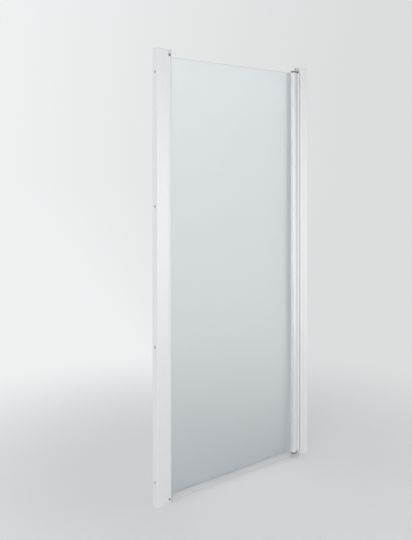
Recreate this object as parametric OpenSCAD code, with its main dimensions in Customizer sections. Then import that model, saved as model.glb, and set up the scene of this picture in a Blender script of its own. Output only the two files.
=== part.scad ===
// Single-leaf pivot shower door for a recess between two walls.
// Frame: the origin lies on the hinge-side wall, at floor level, in the middle
// plane of the glass. +X runs across the opening to the closing side, +Y runs
// into the shower, +Z runs up. The leaf is drawn closed.

/* [Opening] */
// Clear width between the two walls
niche_w = 950; // [700:10:1200]
// Height of the wall channels, from the floor to their top caps
door_h = 1950; // [1700:10:2200]

/* [Wall channels] */
// Depth of a wall channel, from outside to shower side
channel_d = 36; // [34:1:48]
// How far a wall channel reaches out from its wall
channel_leg = 32; // [26:1:40]
// Wall thickness of a wall channel
channel_t = 1.8; // [1.4:0.1:2.5]
// Width of the slots for the wall screws
slot_w = 6; // [5:0.5:7]
// Length of the slots for the wall screws
slot_len = 12; // [9:1:16]
// From the ends of a channel to its outer slots
slot_inset = 100; // [60:5:160]
// Distance between the two inner slots
slot_pair = 600; // [400:10:700]
// Thickness of the plastic caps on the wall profiles
cap_t = 3; // [2:0.5:5]

/* [Jambs] */
// From the hinge-side wall to the front edge of the hinge jamb
hinge_reach = 62; // [54:1:66]
// From the closing-side wall to the closing face of the latch jamb
latch_reach = 53; // [46:1:60]
// Wall thickness of the jamb extrusions
jamb_t = 1.6; // [1.2:0.1:2]
// Length of jamb that stays inside its wall channel
jamb_insert = 26; // [18:1:28]
// Sliding clearance between a jamb and its wall channel
slide_fit = 0.2; // [0.1:0.05:0.3]
// How far the stop lip reaches behind the leaf
lip_reach = 14; // [13:1:18]
// From the ends of a jamb to its outer fixing screws
fixing_inset = 220; // [150:10:400]
// Radius of the fixing screws' shanks
fixing_r = 2; // [1.5:0.1:2.5]

/* [Leaf] */
// From the hinge-side wall to the pivot axis
pivot_x = 70; // [68:1:74]
// Radius of the round nose of the hinge profile, and half the leaf's thickness
nose_r = 11; // [10:0.5:12]
// Running gap between the nose and its cove in the jamb
nose_gap = 0.8; // [0.5:0.1:1.2]
// From the floor to the bottom edge of the glass
leaf_z0 = 21.5; // [18:0.5:30]
// From the top of the glass up to the top of the wall channels
leaf_drop = 32; // [28:1:40]
// Thickness of the toughened glass
glass_t = 6; // [5:1:8]
// Thickness of the glazing gasket on each face of the glass
gasket_t = 1.75; // [1.2:0.05:2]
// Thickness of the gasket under the edge of the glass
gasket_floor = 1.5; // [1:0.1:2.5]
// Wall thickness of the leaf's extrusions
leaf_t = 1.6; // [1.2:0.1:2]
// Gap between the leaf's closing edge and the latch jamb
edge_gap = 4; // [3:0.5:6]

/* [Closing edge] */
// From the tip of the outer glazing leg to the closing edge
grip_w = 57; // [52:1:70]
// How much longer the inner glazing leg is than the outer one
inner_leg = 21; // [8:1:30]
// Depth of the glazing pocket
pocket_d = 16; // [12:1:20]
// Thickness of the caps on the ends of the closing edge
edge_cap_t = 7; // [3:0.5:9]

/* [Grip] */
// From the bottom edge of the glass up to the lower end of the grip
grip_lift = 7; // [0:0.5:12]
// Height of the ridge's crest above the middle plane of the glass
crest_h = 31; // [28:0.5:36]
// Width of the ridge's crest
crest_w = 16.5; // [12:0.5:22]
// How far the crest reaches over the glass, beyond the outer glazing leg
crest_over = 7; // [3:0.5:10]
// How far the hooked edge reaches over the glass, beyond the outer glazing leg
hook_over = 11.5; // [10:0.5:14]
// Width of the flat strip beside the closing edge
flange_w = 14.5; // [10:0.5:18]
// Width of the finger recess behind the hooked edge
recess_gap = 9; // [8:0.5:10]
// Depth of the finger recess beyond the tip of the outer leg
recess_d = 11; // [8:0.5:12]
// Thickness of the caps on the ends of the grip
grip_cap_t = 8; // [5:0.5:10]
// Thickness of the roof that the top cap holds out over the slope
roof_t = 4; // [2:0.5:5]
// From the foot of the slope back to the roof's front corner
roof_back = 7; // [4:0.5:10]

/* [Pivots] */
// Thickness of the pivot plates
plate_t = 8; // [6:0.5:10]
// Radius of the nose of a pivot plate
plate_r = 10; // [9:0.5:11]
// Radius of the pivot pins
pin_r = 4; // [3:0.25:5]
// Radius of the head of a pivot pin
pin_head_r = 6.5; // [6:0.25:7]
// Running clearance of the pins in their bushes, on the radius
pin_fit = 0.05; // [0.02:0.01:0.08]
// Radius of the collar of a pivot bush
bush_r = 9; // [7.5:0.25:9.5]
// Height of the upper bush's collar
top_collar_h = 10; // [8:0.5:11]
// Running gap over the upper bush
top_gap = 1; // [0.5:0.1:2]
// Height of the shoulder under the thrust washer
foot_shoulder = 2.5; // [1:0.5:4]
// Thickness of the thrust washer under the leaf
washer_t = 1; // [0.8:0.1:1.5]
// Thickness of the caps that carry the bushes
bearer_t = 4; // [3:0.5:6]
// Radius of the small screws that hold caps and plates
screw_r = 1.7; // [1.4:0.1:1.9]

/* [Seals] */
// Gap between the two magnetic strips
magnet_gap = 0.5; // [0.3:0.1:0.8]
// Width of a magnetic strip
magnet_w = 7; // [6:0.5:8]
// How far the latch strip stands out of the stop lip
magnet_t = 0.9; // [0.6:0.1:1.2]
// Height of the clip of the bottom seal on the glass
clip_h = 8; // [6:1:14]
// Wall thickness of the bottom seal
sweep_t = 1; // [0.8:0.1:1.4]
// Gap between the bottom seal and the floor
sweep_gap = 2; // [1:0.5:4]
// How far the drip lip stands out from the bottom seal
drip_out = 7; // [4:0.5:9]
// Gap between the pile of the hinge seals and the nose
pile_gap = 0.3; // [0.1:0.1:0.5]

/* [Hidden] */
$fn = 64;
tiny = 0.01;
fit = 0.15;
// radii of the extrusions' edges and of their inner corners
edge_r = 0.8;
nose_edge_r = 2;
fillet_r = 1;
// how far a cap's tongue or spigot reaches down
tongue_h = 12;

// Depths (Y) that the pieces share
channel_y0 = -nose_r - slide_fit - channel_t;
channel_y1 = channel_y0 + channel_d;
channel_mid_y = (channel_y0 + channel_y1) / 2;
rib_share = 0.28;
rib_y = [channel_y0 + channel_d * rib_share, channel_y1 - channel_d * rib_share];
rib_t = 1.6;
jamb_y0 = -nose_r;
jamb_y1 = channel_y1 - channel_t - slide_fit;
lip_y0 = nose_r + magnet_gap + magnet_t;
pocket_half = glass_t / 2 + gasket_t;
leg_y = pocket_half + leaf_t;

// Heights (Z)
channel_h = door_h - cap_t;
leaf_z1 = door_h - leaf_drop;
leaf_h = leaf_z1 - leaf_z0;
grip_z0 = leaf_z0 + grip_lift;
fixing_z = [fixing_inset, door_h / 2, door_h - fixing_inset];
slot_z = [slot_inset, (door_h - slot_pair) / 2, (door_h + slot_pair) / 2, door_h - slot_inset];

// Places across the opening (X)
jamb_x0 = channel_leg - jamb_insert;
web_back = 18;
mouth_r = nose_r + nose_gap;
web_x = hinge_reach - web_back;
latch_web_x = latch_reach - web_back;
rear_lip_x = pivot_x + plate_r;
rear_lip_y = nose_r - 2;
edge_x = niche_w - latch_reach - edge_gap;
leg_x = edge_x - grip_w;
inner_leg_x = leg_x - inner_leg;
pocket_floor_x = leg_x + pocket_d;
nose_floor = 2;
mouth_chord = sqrt(pow(nose_r, 2) - pow(pocket_half, 2));
glass_x0 = pivot_x + nose_floor + gasket_floor;
glass_x1 = pocket_floor_x - gasket_floor;
box_x = pocket_floor_x + leaf_t;
hook_x = leg_x - hook_over;
ridge_x0 = leg_x - crest_over;
ridge_x1 = ridge_x0 + crest_w;
slope_x = edge_x - flange_w;
recess_x = leg_x + recess_d;
tip_y = -leg_y - recess_gap;

// Groove and tongue between closing profile and grip: place, half mouth, half head and depth
rail_x = pocket_floor_x + 14;
rail_neck = 1.5;
rail_head = 3;
rail_d = 3.4;

// Screws and their ports
port_r = screw_r + 0.1;
port_wall = 1.4;
port_stand = 4.6;
port_side = 5.8;
jamb_ports = [for (y = [jamb_y0 + port_side, jamb_y1 - port_side]) [web_x + port_stand, y]];
latch_port = [latch_web_x + port_side, channel_mid_y];
box_port = [box_x + port_stand, 0];
ridge_port = [ridge_x0 + port_stand, (tip_y - crest_h) / 2];
fixing_back = 10;
fixing_x = channel_leg - fixing_back;
fixing_grip = channel_t + slide_fit + jamb_t;
fixing_out = 5;
fixing_head_r = fixing_r * 1.9;
fixing_head_h = 2.2;

// Pile seals: their angles round the pivot, and the slots' depth, half mouth and half head
pile_angles = [145, 215];
pile_slot_d = 3.2;
pile_mouth = 1.3;
pile_head = 2.2;
pile_head_d = 1.5;
pile_wall = 1.2;

// Magnetic strips: where the T's head begins and ends, and half its width
magnet_head_y = 1.2;
magnet_depth = 2.8;
head_half = magnet_w * 0.38;
magnet_x = edge_x - magnet_w / 2 - leaf_t;
strip_stop_h = 7;

// Heights in the pivots
top_shoulder = leaf_drop - bearer_t - top_collar_h - top_gap - plate_t;
washer_z = plate_t + foot_shoulder;
lower_collar_z = washer_z + washer_t;
shank_r = bush_r - 3;
spigot_h = 20;
plug_h = 10;
pin_head_h = 2.5;
screw_end = 4;

// Points of an arc that rounds corner p between its neighbours a and b, with radius r
function unit(v) = v / norm(v);
function corner(a, p, b, r) =
    let (u = unit(a - p), v = unit(b - p), half = acos(u * v) / 2, d = r / tan(half))
    let (c = p + unit(u + v) * r / sin(half), s = p + u * d - c, e = p + v * d - c)
    let (a0 = atan2(s[1], s[0]), raw = atan2(e[1], e[0]) - a0)
    let (sweep = raw > 180 ? raw - 360 : raw < -180 ? raw + 360 : raw, n = max(2, ceil(abs(sweep) / 12)))
    [for (i = [0 : n]) c + r * [cos(a0 + sweep * i / n), sin(a0 + sweep * i / n)]];

// Outline through corners [x, y, radius]; a radius of 0 leaves the corner sharp
function rounded(pts) =
    let (n = len(pts))
    [for (i = [0 : n - 1])
        let (q = pts[i], a = pts[(i + n - 1) % n], b = pts[(i + 1) % n])
        each q[2] == 0
            ? [[q[0], q[1]]]
            : corner([a[0], a[1]], [q[0], q[1]], [b[0], b[1]], q[2])];

module outline(pts) {
    polygon(rounded(pts));
}

// Rectangle between two opposite corners
module span(x0, y0, x1, y1) {
    translate([x0, y0])
        square([x1 - x0, y1 - y0]);
}

// Extrusion between two heights
module rise(z0, z1) {
    translate([0, 0, z0])
        linear_extrude(z1 - z0)
            children();
}

// Draws its children for the closing-side wall, with X measured from that wall
module from_latch_wall() {
    translate([niche_w, 0, 0])
        mirror([1, 0, 0])
            children();
}

// Countersunk screw with its head's top at z = 0, pointing down
module countersunk_screw(r, length) {
    difference() {
        union() {
            translate([0, 0, -length])
                cylinder(r = r, h = length);
            translate([0, 0, -r])
                cylinder(r1 = r, r2 = r * 2, h = r);
        }
        translate([0, 0, -r * 0.7])
            cylinder(r = r * 0.8, h = r, $fn = 6);
    }
}

// Room for that screw, with clearance
module countersunk_hole(r, length) {
    translate([0, 0, -length])
        cylinder(r = r + 0.1, h = length + 1);
    translate([0, 0, -r])
        cylinder(r1 = r + 0.1, r2 = r * 2 + 0.1, h = r + tiny);
}

// ---------------------------------------------------------------- wall channels

// Outer outline of a wall channel and of the cap on it
module channel_outline() {
    outline([
        [0, channel_y0, edge_r], [channel_leg, channel_y0, edge_r],
        [channel_leg, channel_y1, edge_r], [0, channel_y1, edge_r]
    ]);
}

// Section of a wall channel, a U that opens away from the wall
module channel_section() {
    difference() {
        channel_outline();
        outline([
            [channel_t, channel_y0 + channel_t, edge_r], [channel_leg + 1, channel_y0 + channel_t, 0],
            [channel_leg + 1, channel_y1 - channel_t, 0], [channel_t, channel_y1 - channel_t, edge_r]
        ]);
    }
    // two ribs stiffen the back and guide the cap's tongue
    for (y = rib_y)
        span(channel_t - tiny, y - rib_t / 2, channel_t + rib_t, y + rib_t / 2);
}

// Upright slot through the back of a channel
module wall_slot() {
    half = (slot_len - slot_w) / 2;
    translate([-1, channel_mid_y, 0])
        rotate([0, 90, 0]) {
            for (s = [-1, 1])
                translate([s * half, 0, 0])
                    cylinder(r = slot_w / 2, h = channel_t + 2);
            translate([-half, -slot_w / 2, 0])
                cube([2 * half, slot_w, channel_t + 2]);
        }
}

// Row of round holes through channel and jamb, on the shower side, for the fixing screws
module fixing_holes() {
    for (z = fixing_z)
        translate([fixing_x, channel_y1 - fixing_grip - 1, z])
            rotate([-90, 0, 0])
                cylinder(r = fixing_r + 0.1, h = fixing_grip + 2);
}

module wall_channel() {
    difference() {
        rise(0, channel_h)
            channel_section();
        for (z = slot_z)
            translate([0, 0, z])
                wall_slot();
        fixing_holes();
    }
}

// Pan-head screw that ties a jamb to its channel
module fixing_screw() {
    translate([fixing_x, channel_y1, 0])
        rotate([-90, 0, 0])
            difference() {
                union() {
                    translate([0, 0, -fixing_grip - fixing_out])
                        cylinder(r = fixing_r, h = fixing_grip + fixing_out);
                    cylinder(r = fixing_head_r, h = fixing_head_h * 0.5);
                    translate([0, 0, fixing_head_h * 0.5])
                        cylinder(r1 = fixing_head_r, r2 = fixing_head_r * 0.7, h = fixing_head_h * 0.5);
                }
                translate([0, 0, fixing_head_h * 0.4])
                    cylinder(r = fixing_r * 0.7, h = fixing_head_h, $fn = 6);
            }
}

// Domed plastic cap pressed over a fixing screw's head
module screw_cap() {
    wall = 1.2;
    inside_r = fixing_head_r + fit;
    outside_r = inside_r + wall;
    depth = fixing_head_h + fit;
    translate([fixing_x, channel_y1, 0])
        rotate([-90, 0, 0])
            difference() {
                union() {
                    cylinder(r = outside_r, h = depth);
                    translate([0, 0, depth])
                        cylinder(r1 = outside_r, r2 = outside_r * 0.72, h = wall);
                }
                translate([0, 0, -tiny])
                    cylinder(r = inside_r, h = depth + tiny);
            }
}

module fixing_screws() {
    for (z = fixing_z)
        translate([0, 0, z])
            fixing_screw();
}

module screw_caps() {
    for (z = fixing_z)
        translate([0, 0, z])
            screw_cap();
}

// ---------------------------------------------------------------- hinge side

module hinge_wall_channel() {
    color("gainsboro")
        wall_channel();
}

// Places its children on the cove, at an angle round the pivot, pointing outwards
module on_cove(angle) {
    translate([pivot_x, 0])
        rotate(angle)
            translate([mouth_r, 0])
                children();
}

module jamb_section() {
    difference() {
        outline([
            [jamb_x0, jamb_y0, 0.4], [hinge_reach, jamb_y0, nose_edge_r], [hinge_reach, 0, 0],
            [pivot_x, 0, 0], [pivot_x, rear_lip_y, 0], [rear_lip_x, rear_lip_y, 0.6],
            [rear_lip_x, jamb_y1, nose_edge_r],
            [jamb_x0, jamb_y1, 0.4]
        ]);
        translate([pivot_x, 0])
            circle(r = mouth_r);
        // open tail that slides in the wall channel
        outline([
            [jamb_x0 - 1, jamb_y0 + jamb_t, 0], [web_x, jamb_y0 + jamb_t, fillet_r],
            [web_x, jamb_y1 - jamb_t, fillet_r], [jamb_x0 - 1, jamb_y1 - jamb_t, 0]
        ]);
        jamb_chamber();
        for (a = pile_angles)
            on_cove(a)
                pile_slot();
        for (p = jamb_ports)
            translate(p)
                circle(r = port_r);
    }
}

// Closed chamber between the web and the cove, less its screw ports and seal bosses
module jamb_chamber() {
    x0 = web_x + jamb_t;
    rear_x0 = hinge_reach - mouth_r;
    difference() {
        union() {
            outline([
                [x0, jamb_y0 + jamb_t, fillet_r], [hinge_reach - jamb_t, jamb_y0 + jamb_t, fillet_r],
                [hinge_reach - jamb_t, jamb_y1 - jamb_t, 0], [x0, jamb_y1 - jamb_t, fillet_r]
            ]);
            outline([
                [rear_x0, rear_lip_y + jamb_t, 0], [rear_lip_x - jamb_t, rear_lip_y + jamb_t, 0],
                [rear_lip_x - jamb_t, jamb_y1 - jamb_t, fillet_r], [rear_x0, jamb_y1 - jamb_t, 0]
            ]);
        }
        translate([pivot_x, 0])
            circle(r = mouth_r + jamb_t);
        for (p = jamb_ports)
            translate(p)
                circle(r = port_r + port_wall);
        for (p = jamb_ports)
            span(x0 - tiny, p[1] - port_wall, p[0], p[1] + port_wall);
        for (a = pile_angles)
            on_cove(a)
                span(0, -pile_head - pile_wall, pile_slot_d + pile_wall, pile_head + pile_wall);
    }
}

// T-shaped groove for a pile seal, cut outwards from the cove
module pile_slot() {
    span(-1, -pile_mouth, pile_slot_d, pile_mouth);
    span(pile_slot_d - pile_head_d, -pile_head, pile_slot_d, pile_head);
}

module hinge_jamb() {
    color("whitesmoke")
        difference() {
            rise(plate_t, door_h - plate_t)
                jamb_section();
            fixing_holes();
        }
}

// Cap on the wall channel, with a tongue between the channel's ribs and the jamb
module channel_cap() {
    side = rib_t / 2 + fit;
    rise(channel_h, door_h)
        channel_outline();
    rise(channel_h - tongue_h, channel_h + tiny)
        span(channel_t + fit, rib_y[0] + side, jamb_x0 - fit, rib_y[1] - side);
}

module hinge_channel_cap() {
    color("lightgray")
        channel_cap();
}

module hinge_fixing_screws() {
    color("silver")
        fixing_screws();
}

module hinge_screw_caps() {
    color("white")
        screw_caps();
}

module hinge_pile_seals() {
    color("gray")
        rise(plate_t, door_h - plate_t)
            for (a = pile_angles)
                on_cove(a) {
                    head_x = pile_slot_d - pile_head_d + fit;
                    span(head_x, fit - pile_head, pile_slot_d - tiny, pile_head - fit);
                    span(pile_gap - nose_gap, fit - pile_mouth, head_x + 0.5, pile_mouth - fit);
                }
}

// Outline of a pivot plate: it closes the jamb's end and reaches out over the leaf's nose
module plate_section() {
    x0 = channel_leg + fit;
    outline([
        [x0, jamb_y0, fillet_r], [hinge_reach, jamb_y0, nose_edge_r], [hinge_reach, -plate_r, 0],
        [pivot_x, -plate_r, 0], [pivot_x, 0, 0], [rear_lip_x, 0, 0], [rear_lip_x, jamb_y1, nose_edge_r],
        [x0, jamb_y1, fillet_r]
    ]);
    translate([pivot_x, 0])
        circle(r = plate_r);
}

// Pivot plate with its outer face at z = 0 and a shoulder round the pin, drawn downwards
module pivot_plate(shoulder) {
    difference() {
        union() {
            rise(-plate_t, 0)
                plate_section();
            translate([pivot_x, 0, -plate_t - shoulder])
                cylinder(r = bush_r, h = shoulder + tiny);
        }
        translate([pivot_x, 0, -plate_t - shoulder - 1])
            cylinder(r = pin_r + 0.02, h = plate_t + shoulder + 2);
        translate([pivot_x, 0, -pin_head_h])
            cylinder(r = pin_head_r + 0.1, h = pin_head_h + 1);
        for (p = jamb_ports)
            translate([p[0], p[1], 0])
                countersunk_hole(screw_r, plate_t + 1);
    }
}

// Draws its children upside down, for the foot of the door
module at_foot() {
    mirror([0, 0, 1])
        children();
}

module top_pivot_plate() {
    color("silver")
        translate([0, 0, door_h])
            pivot_plate(top_shoulder);
}

module bottom_pivot_plate() {
    color("silver")
        at_foot()
            pivot_plate(foot_shoulder);
}

module plate_screws() {
    for (p = jamb_ports)
        translate([p[0], p[1], 0])
            countersunk_screw(screw_r, plate_t + spigot_h - screw_end);
}

module pivot_plate_screws() {
    color("darkgray") {
        translate([0, 0, door_h])
            plate_screws();
        at_foot()
            plate_screws();
    }
}

// Headed pin with its head flush at z = 0, pointing down
module pivot_pin(length) {
    chamfer = 0.5;
    translate([pivot_x, 0, 0]) {
        translate([0, 0, -length + chamfer])
            cylinder(r = pin_r, h = length - chamfer);
        translate([0, 0, -length])
            cylinder(r1 = pin_r - chamfer, r2 = pin_r, h = chamfer + tiny);
        translate([0, 0, -pin_head_h])
            cylinder(r = pin_head_r, h = pin_head_h);
    }
}

module top_pivot_pin() {
    color("darkgray")
        translate([0, 0, door_h])
            pivot_pin(leaf_drop - 2);
}

module bottom_pivot_pin() {
    color("darkgray")
        at_foot()
            pivot_pin(leaf_z0 - 1);
}

module thrust_washer() {
    color("ivory")
        translate([pivot_x, 0, washer_z])
            difference() {
                cylinder(r = bush_r, h = washer_t - fit);
                translate([0, 0, -1])
                    cylinder(r = pin_r + pin_fit, h = washer_t + 2);
            }
}

// ---------------------------------------------------------------- closing side

module latch_wall_channel() {
    color("gainsboro")
        from_latch_wall()
            wall_channel();
}

// T-shaped slot for a magnetic strip, opening at y = 0 and cut towards +y
module magnet_slot() {
    span(-magnet_w / 4 - 0.1, -1, magnet_w / 4 + 0.1, magnet_head_y + 0.1);
    span(-head_half - 0.1, magnet_head_y - 0.1, head_half + 0.1, magnet_depth + 0.1);
}

// Magnetic strip: a pad in front of y = 0, and a T that fills the slot
module magnet_section() {
    span(-magnet_w / 2, -magnet_t, magnet_w / 2, 0);
    span(-magnet_w / 4, -tiny, magnet_w / 4, magnet_head_y + tiny);
    span(-head_half, magnet_head_y, head_half, magnet_depth);
}

latch_magnet_x = niche_w - magnet_x;

// Front and lip of the latch jamb, from a given distance off the closing-side wall
module latch_outline(x0, r) {
    lip_x = latch_reach + lip_reach;
    outline([
        [x0, jamb_y0, r], [latch_reach, jamb_y0, nose_edge_r], [latch_reach, lip_y0, edge_r],
        [lip_x, lip_y0, edge_r], [lip_x, jamb_y1, 1.6], [x0, jamb_y1, r]
    ]);
}

// Section of the latch jamb, with X measured from the closing-side wall
module latch_section() {
    lip_x = latch_reach + lip_reach;
    boss = head_half + leaf_t;
    difference() {
        latch_outline(jamb_x0, 0.4);
        outline([
            [jamb_x0 - 1, jamb_y0 + jamb_t, 0], [latch_web_x, jamb_y0 + jamb_t, fillet_r],
            [latch_web_x, jamb_y1 - jamb_t, fillet_r], [jamb_x0 - 1, jamb_y1 - jamb_t, 0]
        ]);
        difference() {
            outline([
                [latch_web_x + jamb_t, jamb_y0 + jamb_t, fillet_r],
                [latch_reach - jamb_t, jamb_y0 + jamb_t, fillet_r],
                [latch_reach - jamb_t, lip_y0 + jamb_t, 0], [lip_x - jamb_t, lip_y0 + jamb_t, 0.6],
                [lip_x - jamb_t, jamb_y1 - jamb_t, edge_r], [latch_web_x + jamb_t, jamb_y1 - jamb_t, fillet_r]
            ]);
            span(latch_magnet_x - boss, lip_y0, latch_magnet_x + boss, lip_y0 + magnet_depth + jamb_t);
            translate(latch_port)
                circle(r = port_r + port_wall);
            span(latch_web_x, latch_port[1] - port_wall, latch_port[0], latch_port[1] + port_wall);
        }
        translate(latch_port)
            circle(r = port_r);
        translate([latch_magnet_x, lip_y0])
            magnet_slot();
    }
}

module latch_jamb() {
    color("whitesmoke")
        from_latch_wall()
            difference() {
                rise(0, channel_h)
                    latch_section();
                fixing_holes();
            }
}

// Hollow spigot of the latch cap, inside the tail of the jamb
module latch_spigot(inset) {
    gap = jamb_t + fit + inset;
    outline([
        [jamb_x0 + 2 + inset, jamb_y0 + gap, fillet_r], [latch_web_x - fit - inset, jamb_y0 + gap, fillet_r],
        [latch_web_x - fit - inset, jamb_y1 - gap, fillet_r], [jamb_x0 + 2 + inset, jamb_y1 - gap, fillet_r]
    ]);
}

// One cap closes the latch channel and its jamb
module latch_top_cap() {
    color("lightgray")
        from_latch_wall() {
            difference() {
                rise(channel_h, door_h) {
                    channel_outline();
                    latch_outline(channel_leg - channel_t, 0);
                }
                translate([latch_port[0], latch_port[1], door_h])
                    countersunk_hole(screw_r, cap_t + 1);
            }
            rise(channel_h - tongue_h, channel_h + tiny)
                difference() {
                    latch_spigot(0);
                    latch_spigot(2);
                }
        }
}

module latch_fixing_screws() {
    color("silver")
        from_latch_wall() {
            fixing_screws();
            translate([latch_port[0], latch_port[1], door_h])
                countersunk_screw(screw_r, cap_t + spigot_h - screw_end);
        }
}

module latch_screw_caps() {
    color("white")
        from_latch_wall()
            screw_caps();
}

module latch_magnet_strip() {
    color("lightgray")
        translate([magnet_x, lip_y0, 0])
            rise(strip_stop_h, channel_h - strip_stop_h)
                magnet_section();
}

// Dark stops that keep the strip from creeping out of its slot
module latch_strip_stops() {
    color("dimgray")
        translate([magnet_x, lip_y0, 0]) {
            rise(0, strip_stop_h)
                magnet_section();
            rise(channel_h - strip_stop_h, channel_h)
                magnet_section();
        }
}

// ---------------------------------------------------------------- leaf, hinge edge

// Round-nosed section, drawn round the pivot, with the glazing pocket towards +x
module nose_section() {
    skin_r = nose_r - leaf_t;
    difference() {
        circle(r = nose_r);
        span(nose_floor, -pocket_half, nose_r + 1, pocket_half);
        intersection() {
            circle(r = skin_r);
            span(-nose_r, -nose_r, nose_floor - leaf_t, nose_r);
        }
        for (s = [-1, 1])
            intersection() {
                circle(r = skin_r);
                span(nose_floor, min(s * leg_y, s * nose_r), nose_r, max(s * leg_y, s * nose_r));
            }
    }
}

module leaf_hinge_profile() {
    color("whitesmoke")
        translate([pivot_x, 0, 0])
            rise(leaf_z0, leaf_z1)
                nose_section();
}

// Cap on the nose with a D-shaped spigot; its face on the leaf lies at z = 0
module bush_bearer() {
    difference() {
        union() {
            cylinder(r = nose_r, h = bearer_t);
            rise(-spigot_h, tiny)
                intersection() {
                    circle(r = nose_r - leaf_t - fit);
                    span(-nose_r, -nose_r, nose_floor - leaf_t - fit, nose_r);
                }
        }
        translate([0, 0, -spigot_h - 1])
            cylinder(r = pin_r + 1, h = spigot_h + 1);
        translate([0, 0, -1])
            cylinder(r = shank_r + 0.02, h = bearer_t + 2);
    }
}

module upper_bush_bearer() {
    color("lightgray")
        translate([pivot_x, 0, leaf_z1])
            bush_bearer();
}

module lower_bush_bearer() {
    color("lightgray")
        translate([pivot_x, 0, leaf_z0])
            mirror([0, 0, 1])
                bush_bearer();
}

// Flanged bush: the shank sits in the bearer, the collar outside it
module bush(collar_h) {
    difference() {
        union() {
            cylinder(r = shank_r, h = bearer_t + tiny);
            translate([0, 0, bearer_t])
                cylinder(r = bush_r, h = collar_h);
        }
        translate([0, 0, -1])
            cylinder(r = pin_r + pin_fit, h = bearer_t + collar_h + 2);
    }
}

module upper_bush() {
    color("dimgray")
        translate([pivot_x, 0, leaf_z1])
            bush(top_collar_h);
}

module lower_bush() {
    color("dimgray")
        translate([pivot_x, 0, leaf_z0])
            mirror([0, 0, 1])
                bush(leaf_z0 - bearer_t - lower_collar_z);
}

// ---------------------------------------------------------------- leaf, glass

module glass_pane() {
    color("lightsteelblue", 0.6)
        translate([glass_x0, -glass_t / 2, leaf_z0])
            cube([glass_x1 - glass_x0, glass_t, leaf_h]);
}

// U-shaped gasket round the edge of the glass; x = 0 is the floor of the pocket
module gasket_section(reach) {
    difference() {
        outline([
            [0, -pocket_half, 0], [reach, -pocket_half, 0.6],
            [reach, pocket_half, 0.6], [0, pocket_half, 0]
        ]);
        span(gasket_floor, -glass_t / 2, reach + 1, glass_t / 2);
    }
}

module hinge_side_gasket() {
    color("gray")
        translate([pivot_x + nose_floor, 0, 0])
            rise(leaf_z0, leaf_z1)
                gasket_section(mouth_chord - nose_floor + 1);
}

module grip_side_gasket() {
    color("gray")
        translate([pocket_floor_x, 0, 0])
            mirror([1, 0, 0])
                rise(leaf_z0, leaf_z1) {
                    gasket_section(pocket_d + 0.8);
                    // bedding strip along the longer inner leg
                    span(pocket_d, glass_t / 2, pocket_d + inner_leg, pocket_half);
                }
}

// ---------------------------------------------------------------- leaf, closing edge

// the hooked edge's outer face leans from the edge to the crest
lean = (hook_over - crest_over) / (crest_h + tip_y);
// the crest falls a little towards the slope, which then runs down to the flat strip
crest_fall = 0.5;
function crest_y(x) = -crest_h + crest_fall * (x - ridge_x0) / crest_w;
crest_y1 = crest_y(ridge_x1);
slope_run = (slope_x - ridge_x1) / (-nose_r - crest_y1);
// the leaf's magnetic strip lies flush, so its slot starts under the surface
strip_y = nose_r - magnet_t;
magnet_boss = head_half + leaf_t;

// X of the hooked edge's face at a depth y, or of a face inside it
function hook_face(y, inset) = hook_x + lean * (tip_y - y) + inset * sqrt(1 + pow(lean, 2));

// The same for the slope's face
function slope_face(y, inset) = slope_x + slope_run * (y + nose_r) - inset * sqrt(1 + pow(slope_run, 2));

// Corners of the ridge, from its hooked edge to the foot of its slope, rounded to foot_r
function ridge_pts(foot_r) = [
    [hook_x, tip_y, 1], [ridge_x0, -crest_h, 2.4], [ridge_x1, crest_y1, 5], [slope_x, -nose_r, foot_r]
];

// T-shaped groove in the box's face, for the tongue of the grip; r is its clearance, below 0 for the tongue
module rail_groove(r) {
    span(rail_x - rail_neck - r, -nose_r - tiny, rail_x + rail_neck + r, -nose_r + leaf_t + tiny - r);
    span(rail_x - rail_head - r, -nose_r + leaf_t - r, rail_x + rail_head + r, -nose_r + rail_d + r);
}

// Closed chamber of the box, or the room that a plug takes in it
module box_room(gap) {
    t = leaf_t + gap;
    boss = rail_head + t;
    difference() {
        outline([
            [box_x + gap, -nose_r + t, 1], [edge_x - t, -nose_r + t, 1],
            [edge_x - t, nose_r - t, 1], [box_x + gap, nose_r - t, 1]
        ]);
        translate(box_port)
            circle(r = port_r + port_wall + gap);
        span(box_x - 1, -port_wall - gap, box_port[0], port_wall + gap);
        span(rail_x - boss, -nose_r, rail_x + boss, -nose_r + rail_d + t);
    }
}

// Outline of the box on the closing edge
box_pts = [
    [pocket_floor_x, -nose_r, 1], [edge_x, -nose_r, nose_edge_r],
    [edge_x, nose_r, nose_edge_r], [pocket_floor_x, nose_r, 3]
];

// Section of the closing profile: glazing pocket, box, groove for the grip and slot for the strip
module closing_section() {
    difference() {
        union() {
            outline(concat(
                [[leg_x, -leg_y, 0.5], [pocket_floor_x, -leg_y, 0]],
                box_pts,
                [[pocket_floor_x, leg_y, 0.6], [leg_x, leg_y, 0]]
            ));
            span(inner_leg_x, pocket_half, leg_x + tiny, leg_y);
        }
        // glazing pocket
        span(inner_leg_x - 1, -pocket_half, pocket_floor_x, pocket_half);
        difference() {
            box_room(0);
            span(magnet_x - magnet_boss, strip_y - magnet_depth - leaf_t, magnet_x + magnet_boss, nose_r);
        }
        rail_groove(0);
        translate(box_port)
            circle(r = port_r);
        translate([magnet_x, nose_r])
            square([magnet_w + 0.2, 2 * magnet_t], center = true);
        translate([magnet_x, strip_y])
            mirror([0, 1])
                magnet_slot();
    }
}

module closing_profile() {
    color("whitesmoke")
        rise(leaf_z0, leaf_z1)
            closing_section();
}

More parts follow.
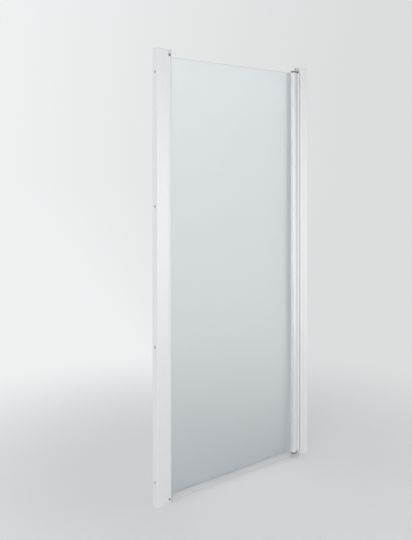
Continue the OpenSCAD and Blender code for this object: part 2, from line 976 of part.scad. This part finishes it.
// End cap of the closing edge, with a plug in the box; its face on the profile lies at z = 0
module edge_cap() {
    plug_x = magnet_x - magnet_boss - leaf_t;
    difference() {
        union() {
            rise(0, edge_cap_t)
                outline(box_pts);
            rise(-plug_h, tiny)
                intersection() {
                    box_room(fit);
                    span(box_x, -nose_r, plug_x, nose_r);
                }
        }
        translate([box_port[0], box_port[1], edge_cap_t])
            countersunk_hole(screw_r, edge_cap_t + 1);
    }
}

module edge_caps() {
    color("lightgray") {
        translate([0, 0, leaf_z1])
            edge_cap();
        translate([0, 0, leaf_z0])
            mirror([0, 0, 1])
                edge_cap();
    }
}

// ---------------------------------------------------------------- leaf, grip

// Corners where the grip seats on the outer leg and round the corner of the box
seat_pts = [[pocket_floor_x, -nose_r, 0.8], [pocket_floor_x, -leg_y, 0]];

// Chamber of the ridge, or the room that a plug takes in it
module ridge_room(gap) {
    t = leaf_t + gap;
    difference() {
        outline([
            [hook_face(tip_y - t, t), tip_y - t, 0.6], [hook_face(-crest_h + t, t), -crest_h + t, 1.2],
            [slope_face(crest_y1 + t, t), crest_y1 + t, 3.6], [slope_face(-nose_r - t, t), -nose_r - t, 1],
            [recess_x + t, -nose_r - t, 1], [recess_x + t, tip_y - t, 1]
        ]);
        translate(ridge_port) {
            circle(r = port_r + port_wall + gap);
            span(-port_stand - leaf_t, -port_wall - gap, 0, port_wall + gap);
        }
    }
}

// Section of the grip: hooked edge over the finger recess, crest, slope, and a tongue for the groove
module grip_section() {
    difference() {
        outline(concat([[recess_x, -leg_y, 0], [recess_x, tip_y, 3]], ridge_pts(0.6), seat_pts));
        ridge_room(0);
        translate(ridge_port)
            circle(r = port_r);
    }
    rail_groove(-fit);
}

module grip_profile() {
    color("silver")
        rise(grip_z0, leaf_z1)
            grip_section();
}

// End cap of the grip, which closes the recess too; its face on the profile lies at z = 0
module grip_cap() {
    difference() {
        union() {
            rise(0, grip_cap_t)
                outline(concat([[leg_x, -leg_y, 0.5]], ridge_pts(0.6), seat_pts));
            rise(-plug_h, tiny)
                ridge_room(fit);
            children();
        }
        translate([ridge_port[0], ridge_port[1], grip_cap_t])
            countersunk_hole(screw_r, grip_cap_t + 1);
    }
}

// The top cap's roof fills the corner between the crest and the closing edge
module grip_top_cap() {
    roof_x0 = (ridge_x0 + ridge_x1) / 2;
    roof_x1 = slope_x - roof_back;
    color("dimgray")
        translate([0, 0, leaf_z1])
            grip_cap()
                rise(grip_cap_t - roof_t, grip_cap_t)
                    outline([
                        [roof_x0, crest_y(roof_x0), 0], [roof_x1, crest_y(roof_x1), nose_edge_r],
                        [slope_x, -nose_r, 0], [roof_x0, -nose_r, 0]
                    ]);
}

module grip_bottom_cap() {
    color("dimgray")
        translate([0, 0, grip_z0])
            mirror([0, 0, 1])
                grip_cap();
}

// Screws through caps of the given thickness, into a port of a profile between two heights
module cap_screws(port, z0, z1, cap) {
    translate([port[0], port[1], z1 + cap])
        countersunk_screw(screw_r, cap + spigot_h - screw_end);
    translate([port[0], port[1], z0 - cap])
        mirror([0, 0, 1])
            countersunk_screw(screw_r, cap + spigot_h - screw_end);
}

module grip_cap_screws() {
    color("silver") {
        cap_screws(box_port, leaf_z0, leaf_z1, edge_cap_t);
        cap_screws(ridge_port, grip_z0, leaf_z1, grip_cap_t);
    }
}

module leaf_magnet_strip() {
    color("gainsboro")
        translate([magnet_x, strip_y, 0])
            mirror([0, 1, 0])
                rise(leaf_z0, leaf_z1)
                    magnet_section();
}

// ---------------------------------------------------------------- bottom seal

clip_half = glass_t / 2 + sweep_t;
clip_gap = 1.5;
fin_inset = 10;
fin_gap = 3;
clip_x0 = pivot_x + mouth_chord + clip_gap;
fin_x0 = clip_x0 + fin_inset;

// Rigid clear clip that grips the bottom edge of the glass
module bottom_seal_clip() {
    color("lightcyan", 0.5)
        translate([clip_x0, 0, leaf_z0])
            rotate([90, 0, 90])
                linear_extrude(inner_leg_x - fit - clip_x0)
                    difference() {
                        outline([
                            [-clip_half, -sweep_t, 0.6], [clip_half, -sweep_t, 0.6],
                            [clip_half, clip_h, 0.4], [-clip_half, clip_h, 0.4]
                        ]);
                        span(-glass_t / 2, 0, glass_t / 2, clip_h + 1);
                    }
}

// Soft sealing fin under the clip, with a drip lip that sheds water into the shower
module bottom_seal_fin() {
    lip_t = sweep_t * 1.4;
    lip_y = clip_half - lip_t;
    color("azure", 0.6)
        translate([fin_x0, 0, leaf_z0 - sweep_t])
            rotate([90, 0, 90])
                linear_extrude(leg_x - fin_gap - fin_x0) {
                    span(-sweep_t, sweep_gap - leaf_z0 + sweep_t, 0, 0);
                    // drip lip: a strip that slopes out and down at 45 degrees
                    outline([
                        [-0.5, 0, 0], [-0.5, -lip_t, 0], [lip_y - sweep_t, -lip_t, 0],
                        [lip_y + drip_out - sweep_t, -drip_out - sweep_t, 0.3],
                        [lip_y + drip_out, -drip_out, 0.2], [lip_y, 0, 0]
                    ]);
                }
}

hinge_wall_channel();
hinge_jamb();
hinge_channel_cap();
hinge_fixing_screws();
hinge_screw_caps();
hinge_pile_seals();
top_pivot_plate();
bottom_pivot_plate();
pivot_plate_screws();
top_pivot_pin();
bottom_pivot_pin();
thrust_washer();
latch_wall_channel();
latch_jamb();
latch_top_cap();
latch_fixing_screws();
latch_screw_caps();
latch_magnet_strip();
latch_strip_stops();
leaf_hinge_profile();
upper_bush_bearer();
lower_bush_bearer();
upper_bush();
lower_bush();
glass_pane();
hinge_side_gasket();
grip_side_gasket();
closing_profile();
grip_profile();
grip_top_cap();
grip_bottom_cap();
edge_caps();
grip_cap_screws();
leaf_magnet_strip();
bottom_seal_clip();
bottom_seal_fin();
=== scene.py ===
import math
import random

import bpy
from mathutils import Matrix, Vector


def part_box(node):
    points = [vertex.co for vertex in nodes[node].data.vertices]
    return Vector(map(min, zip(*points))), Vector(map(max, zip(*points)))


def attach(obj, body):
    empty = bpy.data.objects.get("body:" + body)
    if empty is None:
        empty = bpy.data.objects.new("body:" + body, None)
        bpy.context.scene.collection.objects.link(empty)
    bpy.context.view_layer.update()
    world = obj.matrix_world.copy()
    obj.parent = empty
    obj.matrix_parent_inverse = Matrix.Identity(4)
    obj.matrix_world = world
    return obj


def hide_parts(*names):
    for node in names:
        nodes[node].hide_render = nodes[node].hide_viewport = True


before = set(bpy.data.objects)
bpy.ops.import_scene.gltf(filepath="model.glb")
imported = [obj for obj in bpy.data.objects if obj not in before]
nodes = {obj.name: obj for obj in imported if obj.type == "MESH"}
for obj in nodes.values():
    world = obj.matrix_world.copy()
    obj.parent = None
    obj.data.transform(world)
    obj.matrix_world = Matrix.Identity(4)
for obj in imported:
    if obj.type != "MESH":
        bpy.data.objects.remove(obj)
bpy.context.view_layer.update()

scene = bpy.context.scene

# ---------------------------------------------------------------------------
# Camera
# Eye height in front of the hinge side, level, with the lens shifted down so
# that the uprights stay parallel.
# ---------------------------------------------------------------------------
eye = (-1.8097, -2.4506, 1.4174)
looking_along = (0.6491, 0.7607)

camera_data = bpy.data.cameras.new("camera")
camera_data.lens = 47.67
camera_data.sensor_width = 36.0
camera_data.shift_y = -0.1793
camera = bpy.data.objects.new("camera", camera_data)
camera.location = eye
camera.rotation_euler = (math.radians(90), 0, -math.atan2(*looking_along))
scene.collection.objects.link(camera)
scene.camera = camera


# ---------------------------------------------------------------------------
# Floor and light
# A pale matt floor that fades into a plain backdrop, a white sky, and two
# large soft lamps, in front and at the hinge side. Camera, glass and metal
# each see floor and backdrop in a slightly different tone; seen through the
# glass both are darker, a painted shade of the shower's inside.
# ---------------------------------------------------------------------------
floor_radius = 60
floor_middle = (0.475, 0, 0)
floor_colour = (0.85, 0.85, 0.85)
# the floor seen through the glass is darker: painted shade of the shower's inside
floor_shade_behind_glass = (0.60, 0.605, 0.61)
floor_fade = (0.5, 2.4)  # metres from the middle, where the backdrop starts and is full
floor_seen_in_metal = 0.6  # how much of the backdrop's tone metal shows on the floor
backdrop_colour = (0.81, 0.815, 0.82)
# the backdrop seen through the glass is darker: painted shade of the shower's inside
backdrop_shade_behind_glass = (0.70, 0.705, 0.71)
sky_colour = (0.97, 0.985, 1.0)
sky_strength = 0.66

# the backdrop's strength changes with the direction from the middle: glass
# sees it brighten upwards, metal sees a grey card at the right end, and the
# camera sees it a little lighter on the left than on the right
rise_directions, rise_change = (-0.1, 0.7), (-0.13, 0.62)
card_directions, card_change = (0.7, 1.0), (0.0, -0.8)
side_directions, side_change = (0.43, 0.78), (0.065, -0.115)


def add(tree, kind, **properties):
    """A new node of that kind with those properties."""
    node = tree.nodes.new(kind)
    for name, value in properties.items():
        setattr(node, name, value)
    return node


def new_material(name):
    """A material whose tree holds only its output, with that tree and output."""
    material = bpy.data.materials.new(name)
    material.use_nodes = True
    tree = material.node_tree
    tree.nodes.clear()
    return material, tree, add(tree, "ShaderNodeOutputMaterial")


def feed(tree, source, socket):
    """Gives a socket a number, or another node's output."""
    if isinstance(source, (int, float)):
        socket.default_value = source
    else:
        tree.links.new(source, socket)


def maths(tree, operation, *terms):
    """The result of a Math node over numbers and outputs."""
    node = add(tree, "ShaderNodeMath", operation=operation)
    for term, socket in zip(terms, node.inputs):
        feed(tree, term, socket)
    return node.outputs[0]


def ranged(tree, source, span, result, curve="LINEAR"):
    """Stretches a span of numbers to a result's two ends, and holds the ends beyond."""
    node = add(tree, "ShaderNodeMapRange", interpolation_type=curve)
    for label, value in zip(("From Min", "From Max", "To Min", "To Max"), (*span, *result)):
        node.inputs[label].default_value = value
    tree.links.new(source, node.inputs["Value"])
    return node.outputs["Result"]


def two_tones(tree, source, first, second, socket):
    """Colours a socket between two tones by a 0 to 1 value."""
    tones = add(tree, "ShaderNodeMix", data_type="RGBA")
    tones.inputs["A"].default_value = (*first, 1)
    tones.inputs["B"].default_value = (*second, 1)
    tree.links.new(source, tones.inputs["Factor"])
    tree.links.new(tones.outputs["Result"], socket)


def show_mixed(tree, amount, first, second, output):
    """Mixes two shaders by a 0 to 1 amount and shows the result."""
    mix = add(tree, "ShaderNodeMixShader")
    tree.links.new(amount, mix.inputs["Fac"])
    tree.links.new(first.outputs[0], mix.inputs[1])
    tree.links.new(second.outputs[0], mix.inputs[2])
    tree.links.new(mix.outputs[0], output.inputs["Surface"])


floor_material, tree, output = new_material("floor")
rays = add(tree, "ShaderNodeLightPath").outputs
place = add(tree, "ShaderNodeTexCoord").outputs["Object"]
matt = add(tree, "ShaderNodeBsdfDiffuse")
glow = add(tree, "ShaderNodeEmission")
through_glass = rays["Is Transmission Ray"]
# rays through the glass get the darker tones, a painted shade of the shower's inside
two_tones(tree, through_glass, floor_colour, floor_shade_behind_glass, matt.inputs["Color"])
two_tones(tree, through_glass, backdrop_colour, backdrop_shade_behind_glass, glow.inputs["Color"])

outwards = add(tree, "ShaderNodeVectorMath", operation="NORMALIZE")
parts = add(tree, "ShaderNodeSeparateXYZ")
tree.links.new(place, outwards.inputs[0])
tree.links.new(outwards.outputs[0], parts.inputs[0])
change = ranged(tree, parts.outputs["X"], side_directions, side_change)
strength = maths(tree, "MULTIPLY_ADD", change, rays["Is Camera Ray"], 1.0)
tree.links.new(strength, glow.inputs["Strength"])

distance = add(tree, "ShaderNodeVectorMath", operation="LENGTH")
tree.links.new(place, distance.inputs[0])
fade = ranged(tree, distance.outputs["Value"], floor_fade, (0.0, 1.0), "SMOOTHSTEP")
metal_only = maths(tree, "SUBTRACT", rays["Is Glossy Ray"], through_glass)
paler = maths(tree, "MULTIPLY", metal_only, floor_seen_in_metal)
show_mixed(tree, maths(tree, "MAXIMUM", fade, paler), matt, glow, output)

bpy.ops.mesh.primitive_circle_add(
    vertices=96, radius=floor_radius, fill_type="NGON", location=floor_middle)
floor = bpy.context.object
floor.name = "floor"
floor.data.materials.append(floor_material)

world = bpy.data.worlds.new("world")
scene.world = world
world.use_nodes = True
tree = world.node_tree
tree.nodes.clear()
output = add(tree, "ShaderNodeOutputWorld")
rays = add(tree, "ShaderNodeLightPath").outputs
sky = add(tree, "ShaderNodeBackground")
sky.inputs["Color"].default_value = (*sky_colour, 1)
sky.inputs["Strength"].default_value = sky_strength
backdrop = add(tree, "ShaderNodeBackground")
backdrop.inputs["Color"].default_value = (*backdrop_colour, 1)
direction = add(tree, "ShaderNodeTexCoord").outputs["Generated"]
parts = add(tree, "ShaderNodeSeparateXYZ")
tree.links.new(direction, parts.inputs[0])
strength = 1.0
for ray, part, directions, ends in (
        ("Is Transmission Ray", "Z", rise_directions, rise_change),
        ("Is Glossy Ray", "X", card_directions, card_change),
        ("Is Camera Ray", "X", side_directions, side_change)):
    change = ranged(tree, parts.outputs[part], directions, ends)
    strength = maths(tree, "MULTIPLY_ADD", change, rays[ray], strength)
tree.links.new(strength, backdrop.inputs["Strength"])
# the sky gives the light, and camera, metal and glass see the backdrop
seen = maths(tree, "MAXIMUM", rays["Is Camera Ray"], rays["Is Glossy Ray"])
seen = maths(tree, "MAXIMUM", seen, rays["Is Transmission Ray"])
show_mixed(tree, seen, sky, backdrop, output)


def soft_lamp(name, place, target, size, power):
    """A square area lamp that faces a point; camera and glass don't see it."""
    data = bpy.data.lights.new(name, "AREA")
    data.size = size
    data.energy = power
    lamp = bpy.data.objects.new(name, data)
    lamp.location = place
    lamp.rotation_euler = (Vector(target) - Vector(place)).to_track_quat("-Z", "Y").to_euler()
    lamp.visible_camera = False
    lamp.visible_transmission = False
    scene.collection.objects.link(lamp)


soft_lamp("front_lamp", place=(2.1, -2.2, 1.05), target=(0.4, 0, 1.1), size=2.0, power=6)
soft_lamp("side_lamp", place=(-3.2, -2.2, 1.2), target=(0.5, 0, 1.0), size=2.4, power=45)

scene.view_settings.view_transform = "Standard"


# ---------------------------------------------------------------------------
# Wall channels, jambs, hinge profile and closing profile
# Aluminium extrusions, satin anodised. Drawing them through the die leaves
# fine lines along their length, and the anodising leaves a faint mottle.
# ---------------------------------------------------------------------------
MM = 0.001


def new_group(name, inputs, outputs):
    """A shader node group whose inputs and outputs are numbers, with its two ends."""
    group = bpy.data.node_groups.new(name, "ShaderNodeTree")
    for label, default in inputs.items():
        socket = group.interface.new_socket(label, in_out="INPUT", socket_type="NodeSocketFloat")
        socket.default_value = default
    for label in outputs:
        group.interface.new_socket(label, in_out="OUTPUT", socket_type="NodeSocketFloat")
    return group, add(group, "NodeGroupInput").outputs, add(group, "NodeGroupOutput").inputs


def noise(tree, place, scale, detail, result):
    """Feeds noise over a place to a result; scale is a number or an output."""
    node = add(tree, "ShaderNodeTexNoise")
    node.inputs["Detail"].default_value = detail
    feed(tree, scale, node.inputs["Scale"])
    tree.links.new(place, node.inputs["Vector"])
    tree.links.new(node.outputs["Fac"], result)


# die lines: noise drawn out along Z, and a slower mottle
die_lines, given, result = new_group(
    "die_lines", inputs={"Fineness": 2200.0, "Length": 0.4}, outputs=("Lines", "Mottle"))
place = add(die_lines, "ShaderNodeTexCoord").outputs["Object"]
stretch = add(die_lines, "ShaderNodeCombineXYZ")
for axis, amount in (("X", "Fineness"), ("Y", "Fineness"), ("Z", "Length")):
    die_lines.links.new(given[amount], stretch.inputs[axis])
drawn = add(die_lines, "ShaderNodeVectorMath", operation="MULTIPLY")
die_lines.links.new(place, drawn.inputs[0])
die_lines.links.new(stretch.outputs[0], drawn.inputs[1])
noise(die_lines, drawn.outputs[0], scale=1.0, detail=3.0, result=result["Lines"])
noise(die_lines, place, scale=35.0, detail=4.0, result=result["Mottle"])
lined = ("Mottle", "Lines", "Lines")


def surfaced(name, group, masks, tones, roughness, depth, plain, **amounts):
    """A material with a group's masks for its tone, roughness and height, in that order.

    tones and roughness are the two ends that each runs between, depth is how
    deep the height goes in metres, plain holds the shader's constant values,
    its roughness too where roughness is None, and amounts are the group's.
    """
    material, tree, output = new_material(name)
    shader = add(tree, "ShaderNodeBsdfPrincipled")
    for label, value in plain.items():
        shader.inputs[label].default_value = value
    surface = add(tree, "ShaderNodeGroup", node_tree=group)
    for label, value in amounts.items():
        surface.inputs[label].default_value = value
    tone, gloss, height = (surface.outputs[mask] for mask in masks)
    two_tones(tree, tone, *tones, shader.inputs["Base Color"])
    if roughness:
        rough = ranged(tree, gloss, (0.0, 1.0), roughness)
        tree.links.new(rough, shader.inputs["Roughness"])
    bump = add(tree, "ShaderNodeBump")
    bump.inputs["Distance"].default_value = depth
    tree.links.new(height, bump.inputs["Height"])
    tree.links.new(bump.outputs["Normal"], shader.inputs["Normal"])
    tree.links.new(shader.outputs[0], output.inputs["Surface"])
    return material


def extruded_aluminium(name, dark, light, roughness, depth, metallic):
    """Anodised aluminium with die lines."""
    return surfaced(name, die_lines, lined, (dark, light), roughness, depth,
                    {"Metallic": metallic})


def finish_nodes(material, *names):
    """Gives CAD nodes a material in place of their plain one."""
    for name in names:
        for material_slot in nodes[name].material_slots:
            material_slot.material = material


satin_aluminium = extruded_aluminium(
    "satin_aluminium", dark=(0.825, 0.83, 0.835), light=(0.875, 0.875, 0.88),
    roughness=(0.36, 0.46), depth=0.02 * MM, metallic=0.6)
finish_nodes(satin_aluminium, "hinge_wall_channel", "hinge_jamb", "latch_wall_channel",
             "latch_jamb", "leaf_hinge_profile", "closing_profile")


# ---------------------------------------------------------------------------
# Pivot plates, pins and screws
# The plates are die-cast zinc with a satin chrome finish and a fine cast grain.
# Pins and screws are turned stainless steel, smoother and brighter.
# ---------------------------------------------------------------------------
cast_grain, given, result = new_group(
    "cast_grain", inputs={"Fineness": 900.0}, outputs=("Grain", "Patches"))
place = add(cast_grain, "ShaderNodeTexCoord").outputs["Object"]
noise(cast_grain, place, scale=given["Fineness"], detail=6.0, result=result["Grain"])
noise(cast_grain, place, scale=60.0, detail=2.0, result=result["Patches"])
patchy = ("Patches", "Patches", "Grain")


def grained(name, dark, light, roughness, depth, fineness, metallic=0.0):
    """A moulded or cast surface: fine grain in the normal, patches in tone and roughness."""
    return surfaced(name, cast_grain, patchy, (dark, light), roughness, depth,
                    {"Metallic": metallic}, Fineness=fineness)


cast_metal = grained(
    "cast_metal", dark=(0.78, 0.785, 0.79), light=(0.84, 0.845, 0.85),
    roughness=(0.36, 0.46), depth=0.03 * MM, fineness=1400, metallic=0.6)
turned_steel = grained(
    "steel", dark=(0.58, 0.58, 0.58), light=(0.66, 0.66, 0.66),
    roughness=(0.20, 0.32), depth=0.01 * MM, fineness=2500, metallic=1.0)
finish_nodes(cast_metal, "top_pivot_plate", "bottom_pivot_plate")
finish_nodes(turned_steel, "pivot_plate_screws", "top_pivot_pin", "bottom_pivot_pin",
             "hinge_fixing_screws", "latch_fixing_screws", "grip_cap_screws")


# ---------------------------------------------------------------------------
# Moulded caps, bushes and washer
# Injection-moulded plastic: light grey covers and bush bearers, white snap
# caps and washer, dark grey caps and stops, and dark self-lubricating bushes.
# The stops' dark grey is partly a painted shade of the slot's open end.
# ---------------------------------------------------------------------------
grey_plastic = grained(
    "grey_plastic", dark=(0.66, 0.67, 0.68), light=(0.72, 0.73, 0.74),
    roughness=(0.42, 0.55), depth=0.03 * MM, fineness=1800)
white_plastic = grained(
    "white_plastic", dark=(0.86, 0.86, 0.85), light=(0.90, 0.90, 0.89),
    roughness=(0.22, 0.30), depth=0.01 * MM, fineness=1500)
dark_plastic = grained(
    "dark_plastic", dark=(0.17, 0.175, 0.18), light=(0.22, 0.225, 0.23),
    roughness=(0.42, 0.58), depth=0.04 * MM, fineness=1800)
bush_plastic = grained(
    "bush_plastic", dark=(0.16, 0.16, 0.165), light=(0.21, 0.21, 0.215),
    roughness=(0.38, 0.50), depth=0.02 * MM, fineness=1800)
finish_nodes(grey_plastic, "hinge_channel_cap", "latch_top_cap", "upper_bush_bearer",
             "lower_bush_bearer", "edge_caps")
finish_nodes(white_plastic, "hinge_screw_caps", "latch_screw_caps", "thrust_washer")
# the strip stops' dark tone is partly painted shade of the open slot end above the magnetic
# strip
finish_nodes(dark_plastic, "grip_top_cap", "grip_bottom_cap", "latch_strip_stops")
finish_nodes(bush_plastic, "upper_bush", "lower_bush")


# ---------------------------------------------------------------------------
# Glass pane
# Toughened glass, 6 mm, etched all over so that it lets light through but no
# view, with ground edges and a small arris. Rubber gaskets hold its upright
# edges, 0.05 mm clear of each face.
# ---------------------------------------------------------------------------
arris = 0.6 * MM
pane_clear = Vector((0, 0.05 * MM, 0))
squarely = 0.99  # least Y part of the normal of a front or back face
glass_ior = 1.5


def let_through(name, dark, light, transmission, roughness, fineness):
    """A surface that light passes; transmission is how much of it, the rest is thrown back."""
    return surfaced(name, cast_grain, patchy, (dark, light), roughness, 0.02 * MM,
                    {"Transmission Weight": transmission, "IOR": glass_ior}, Fineness=fineness)


frosted_glass = let_through(
    "frosted_glass", dark=(0.93, 0.965, 0.985), light=(0.945, 0.98, 1.0),
    transmission=0.95, roughness=(0.50, 0.58), fineness=2600)
# in front of the gasket's wide lip nothing lights the glass from behind, so
# there it takes the lip's tone
backed_glass = let_through(
    "backed_glass", dark=(0.90, 0.94, 0.97), light=(0.92, 0.96, 0.99),
    transmission=0.15, roughness=(0.50, 0.58), fineness=2600)
ground_edge = let_through(
    "ground_edge", dark=(0.40, 0.58, 0.55), light=(0.55, 0.72, 0.69),
    transmission=0.6, roughness=(0.25, 0.40), fineness=3000)


def bevelled_block(name, low, high, bevel):
    """A box between two corners with its edges bevelled, and its place in its mesh."""
    bpy.ops.object.select_all(action="DESELECT")
    low, high = Vector(low), Vector(high)
    bpy.ops.mesh.primitive_cube_add(size=1, location=(low + high) / 2, scale=high - low)
    made = bpy.context.object
    made.name = name
    made.data.name = name
    bpy.ops.object.transform_apply(location=True, rotation=True, scale=True)
    bpy.ops.object.mode_set(mode="EDIT")
    bpy.ops.mesh.select_all(action="SELECT")
    bpy.ops.mesh.bevel(offset=bevel, segments=2)
    bpy.ops.object.mode_set(mode="OBJECT")
    return made


low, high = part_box("glass_pane")
lip_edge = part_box("grip_side_gasket")[0].x
pane = bevelled_block("etched_pane", low + pane_clear, high - pane_clear, arris)
bpy.ops.object.mode_set(mode="EDIT")
bpy.ops.mesh.select_all(action="SELECT")
bpy.ops.mesh.bisect(plane_co=(lip_edge, 0, 0), plane_no=(1, 0, 0))
bpy.ops.object.mode_set(mode="OBJECT")
pane_finishes = (frosted_glass, backed_glass, ground_edge)
for material in pane_finishes:
    pane.data.materials.append(material)
for face in pane.data.polygons:
    if abs(face.normal.y) < squarely:
        face.material_index = pane_finishes.index(ground_edge)
    elif face.center.x > lip_edge:
        face.material_index = pane_finishes.index(backed_glass)
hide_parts("glass_pane")
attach(pane, "leaf")


# ---------------------------------------------------------------------------
# Gaskets and magnetic strips
# Soft pale glazing rubber round the edges of the glass, and magnetic rubber in
# a pale sleeve. Both are extruded, so they show faint lines along their length.
# ---------------------------------------------------------------------------
def extruded_rubber(name, dark, light, roughness):
    """A soft extrusion, with coarser and shorter die lines than the metal."""
    return surfaced(name, die_lines, lined, (dark, light), roughness, 0.03 * MM,
                    plain={}, Fineness=1200.0, Length=1.5)


gasket_rubber = extruded_rubber(
    "gasket_rubber", dark=(0.89, 0.90, 0.91), light=(0.93, 0.94, 0.95), roughness=(0.50, 0.62))
magnet_seal = extruded_rubber(
    "magnet_seal", dark=(0.66, 0.67, 0.68), light=(0.72, 0.73, 0.74), roughness=(0.40, 0.50))
finish_nodes(gasket_rubber, "hinge_side_gasket", "grip_side_gasket")
finish_nodes(magnet_seal, "latch_magnet_strip", "leaf_magnet_strip")


# ---------------------------------------------------------------------------
# Grip profile
# The hooked rail slides onto the closing profile by its tongue. It is the same
# aluminium, bright dipped, so its ridge throws narrow highlights.
# ---------------------------------------------------------------------------
bright_aluminium = extruded_aluminium(
    "bright_aluminium", dark=(0.785, 0.79, 0.795), light=(0.84, 0.84, 0.845),
    roughness=(0.27, 0.34), depth=0.01 * MM, metallic=0.75)
finish_nodes(bright_aluminium, "grip_profile")


# ---------------------------------------------------------------------------
# Bottom seal
# A clear extruded clip that is pushed onto the foot of the glass, and on it a
# soft cloudy fin with a drip lip.
# ---------------------------------------------------------------------------
def clear_plastic(name, colour, transmission, roughness):
    """Clear or cloudy extruded plastic, a little darker in patches."""
    darker = [part * 0.96 for part in colour]
    return let_through(name, darker, colour, transmission, roughness, fineness=500)


clip_plastic = clear_plastic(
    "clip_plastic", colour=(0.95, 0.96, 0.965), transmission=0.5, roughness=(0.28, 0.38))
fin_plastic = clear_plastic(
    "fin_plastic", colour=(0.95, 0.965, 0.97), transmission=0.35, roughness=(0.35, 0.45))
finish_nodes(clip_plastic, "bottom_seal_clip")
finish_nodes(fin_plastic, "bottom_seal_fin")


# ---------------------------------------------------------------------------
# Pile seals
# Two lengths of grey brush pile in the cove of the hinge jamb: polypropylene
# bristles tufted into a woven backing, which slides into a T-shaped groove.
# They stop 0.3 mm short of the turning nose.
# ---------------------------------------------------------------------------
pivot = Vector((70, 0, 0)) * MM
pile_angles = (145, 215)  # degrees about the pivot
cove_radius = 11.8 * MM
backing_depth = (1.85 * MM, 3.1 * MM)  # from the cove's face into the jamb
backing_half = 2.05 * MM
backing_bevel = 0.25 * MM
bristle_tip = -0.42 * MM
bristle_root = 0.2 * MM
bristle_radius = 0.22 * MM
bristle_pitch = 0.416 * MM
bristle_rows = 20
bristles_across = 5
lean_across = 0.05
lean_along = 0.14
row_jitter = 0.2
tuft_count = 186

pile = surfaced(
    "pile", cast_grain, ("Grain", "Grain", "Grain"),
    tones=((0.28, 0.29, 0.30), (0.55, 0.56, 0.57)), roughness=None, depth=0.1 * MM,
    plain={"Roughness": 0.95}, Fineness=1500.0)

low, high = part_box("hinge_pile_seals")
pile_length = high.z - low.z
tuft_length = pile_length / tuft_count
random.seed(5)


def join(parts, name):
    """Makes one object of several, selected and active."""
    bpy.ops.object.select_all(action="DESELECT")
    for part in parts:
        part.select_set(True)
    bpy.context.view_layer.objects.active = parts[0]
    bpy.ops.object.join()
    parts[0].name = name
    parts[0].data.name = name
    return parts[0]


def tuft():
    """The bristles of one short length, each leaning its own way; their tips look along -X."""
    bristles = []
    reach = backing_depth[0] + bristle_root - bristle_tip
    for row in range(bristle_rows):
        for column in range(bristles_across):
            bpy.ops.object.select_all(action="DESELECT")
            bpy.ops.mesh.primitive_cone_add(
                vertices=3, radius1=bristle_radius, depth=reach,
                rotation=(0, math.radians(-90), 0), location=(bristle_tip + reach / 2, 0, 0))
            bristle = bpy.context.object
            bpy.ops.object.transform_apply(location=True, rotation=True, scale=True)
            lean_y = random.uniform(-lean_across, lean_across)
            lean_z = random.uniform(-lean_along, lean_along)
            shift = row + 0.5 + random.uniform(-row_jitter, row_jitter)
            along = shift * tuft_length / bristle_rows
            across = (column - (bristles_across - 1) / 2) * bristle_pitch
            for point in bristle.data.vertices:
                outwards = backing_depth[0] - point.co.x
                point.co.y += across + lean_y * outwards
                point.co.z += along + lean_z * outwards
            bristles.append(bristle)
    return join(bristles, "tuft")


strips = []
for angle in pile_angles:
    backing = bevelled_block(
        "backing", (backing_depth[0], -backing_half, 0),
        (backing_depth[1], backing_half, pile_length), backing_bevel)
    bristles = tuft()
    repeat = bristles.modifiers.new("along_the_seal", "ARRAY")
    repeat.count = tuft_count
    repeat.use_relative_offset = False
    repeat.use_constant_offset = True
    repeat.constant_offset_displace = (0, 0, tuft_length)
    bpy.ops.object.modifier_apply(modifier=repeat.name)
    strip = join([backing, bristles], "pile_strip")
    foot = Matrix.Translation(pivot + Vector((0, 0, low.z)))
    turned = Matrix.Rotation(math.radians(angle), 4, "Z")
    strip.data.transform(foot @ turned @ Matrix.Translation((cove_radius, 0, 0)))
    strips.append(strip)
pile_seals = join(strips, "pile_seals")
pile_seals.data.materials.append(pile)
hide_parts("hinge_pile_seals")
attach(pile_seals, "frame")
